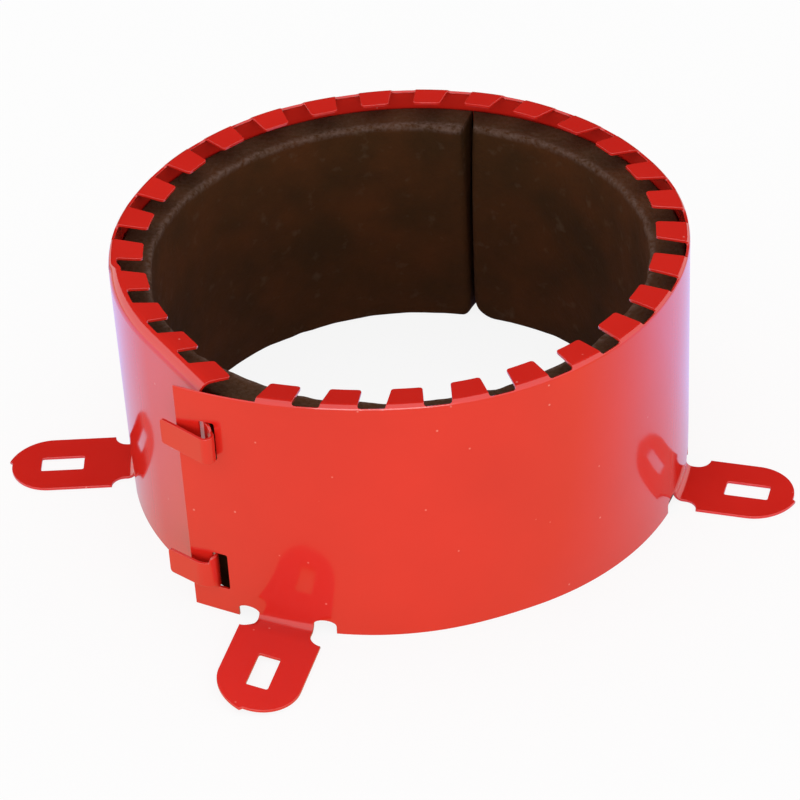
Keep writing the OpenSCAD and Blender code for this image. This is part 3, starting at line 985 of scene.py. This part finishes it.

# %% [markdown]
# The collar stands on a pale floor in a white surround. The camera sees both as plain white. Mirrored rays
# see the floor painted with reflection tints: cream in front of the collar, lavender beside it, and cream
# again further back. These are painted reflections that tint the coat's gloss. What lights the collar is set
# apart from that: a soft sky, and one large lamp in front.

# %% Floor and surround
FLOOR_SIZE, FLOOR_GAP, FLOOR_GLOW = 3.0, 0.05, 0.88
SKY_LIGHT = 0.93
# The cream and lavender are painted reflections: only mirrored rays see them on the floor.
PAINTED_REFLECTION_CREAM, PAINTED_REFLECTION_LAVENDER, FLOOR_PAINT = linear("#CCA67C"), linear("#DCCBFF"), linear("#F2F2F2")
WHITE = (1, 1, 1, 1)
BESIDE_START, BESIDE_FULL, BESIDE_FADE, BESIDE_END = -0.06, 0.03, 0.08, 0.25
SQUARE = np.array([[-1, -1, 0], [1, -1, 0], [1, 1, 0], [-1, 1, 0]])


def seen_directly(tree):
    """1 for rays that come straight from the camera or through a clear or mirroring surface, else 0."""
    rays = add_node(tree, "LightPath").outputs
    shiny = add_node(
        tree, "Math", {0: rays["Is Glossy Ray"], 1: rays["Is Transmission Ray"]}, operation="MAXIMUM"
    )
    direct = add_node(tree, "Math", {0: rays["Is Camera Ray"], 1: shiny.outputs[0]}, operation="MAXIMUM")
    return direct.outputs[0]


def pale_floor():
    """White to the camera, painted with reflection tints for mirrored rays, and plain paint under the light.
    """
    material, tree = new_material("pale_floor")
    seen = seen_directly(tree)
    rays = add_node(tree, "LightPath").outputs
    place = add_node(tree, "SeparateXYZ", {"Vector": add_node(tree, "TexCoord").outputs["Object"]})
    sets_in = add_node(
        tree, "MapRange", {0: place.outputs["Y"], 1: BESIDE_START, 2: BESIDE_FULL, 3: 0.0, 4: 1.0}
    )
    fades = add_node(
        tree, "MapRange", {0: place.outputs["Y"], 1: BESIDE_FADE, 2: BESIDE_END, 3: 1.0, 4: 0.0}
    )
    beside = add_node(tree, "Math", {0: sets_in.outputs[0], 1: fades.outputs[0]}, operation="MULTIPLY")
    # Painted reflection: lavender beside the collar, with cream in front of it and behind it.
    painted_reflection = add_node(tree, "Mix", {0: beside.outputs[0], 6: PAINTED_REFLECTION_CREAM, 7: PAINTED_REFLECTION_LAVENDER}, data_type="RGBA")
    painted_reflection_tint = add_node(
        tree, "Mix", {0: rays["Is Glossy Ray"], 6: WHITE, 7: painted_reflection.outputs[2]}, data_type="RGBA"
    )
    glow = add_node(tree, "Emission", {"Color": painted_reflection_tint.outputs[2], "Strength": 1.0})
    paint = add_node(tree, "BsdfDiffuse", {"Color": FLOOR_PAINT})
    share = add_node(tree, "Math", {0: seen, 1: FLOOR_GLOW}, operation="MULTIPLY")
    both = add_node(tree, "MixShader", {0: share.outputs[0], 1: paint.outputs[0], 2: glow.outputs[0]})
    add_node(tree, "OutputMaterial", {"Surface": both.outputs[0]})
    return material


floor = new_piece("floor", SQUARE * FLOOR_SIZE / 2 / MM - (0, 0, FLOOR_GAP), [(0, 1, 2, 3)])
floor.data.materials.append(pale_floor())

world = bpy.data.worlds.new("white_surround")
world.use_nodes = True
world.node_tree.nodes.clear()
sky = add_node(world.node_tree, "Background", {"Color": WHITE, "Strength": SKY_LIGHT})
white = add_node(world.node_tree, "Background", {"Color": WHITE, "Strength": 1.0})
chosen = add_node(
    world.node_tree,
    "MixShader",
    {0: seen_directly(world.node_tree), 1: sky.outputs[0], 2: white.outputs[0]},
)
add_node(world.node_tree, "OutputWorld", {"Surface": chosen.outputs[0]})
bpy.context.scene.world = world
print("floor of", FLOOR_SIZE, "m, sky light", SKY_LIGHT)

# %% The lamp
LAMP_SIZE, LAMP_POWER = 0.7, 4.4
LAMP_PLACE, LAMP_AIM = Vector((0.1, -1.1, 0.1)), Vector((0, 0, 0.03))

lamp = bpy.data.objects.new("front_lamp", bpy.data.lights.new("front_lamp", "AREA"))
lamp.data.size, lamp.data.energy = LAMP_SIZE, LAMP_POWER
lamp.location = LAMP_PLACE
lamp.rotation_mode = "QUATERNION"
lamp.rotation_quaternion = (LAMP_AIM - LAMP_PLACE).to_track_quat("-Z", "Y")
bpy.context.scene.collection.objects.link(lamp)
bpy.context.scene.view_settings.view_transform = "Standard"
print("lamp of", LAMP_POWER, "W at", list(LAMP_PLACE))

# %% [markdown]
# Level faces mirror the sky behind the collar and would look washed out. Photographers hang a black card
# there, called a flag. This one is seen only by mirrored rays, so it darkens the reflections and leaves
# light and shadow alone.

# %% The flag
FLAG_DISTANCE, FLAG_SIZE, CARD_BLACK = 0.9, 1.3, "#101010"
flag_way = Vector((-towards_camera.x, -towards_camera.y, towards_camera.z))
flag_turn = flag_way.to_track_quat("Z", "Y")
turned = np.array([flag_turn @ Vector(corner) for corner in SQUARE * FLAG_SIZE / 2])
flag = new_piece("flag", (turned + np.array(flag_way) * FLAG_DISTANCE) / MM, [(0, 1, 2, 3)])
black_card, tree = new_material("black_card")
card = add_node(tree, "BsdfDiffuse", {"Color": linear(CARD_BLACK)})
add_node(tree, "OutputMaterial", {"Surface": card.outputs[0]})
flag.data.materials.append(black_card)
for kind in ("camera", "diffuse", "transmission", "volume_scatter", "shadow"):
    setattr(flag, "visible_" + kind, False)
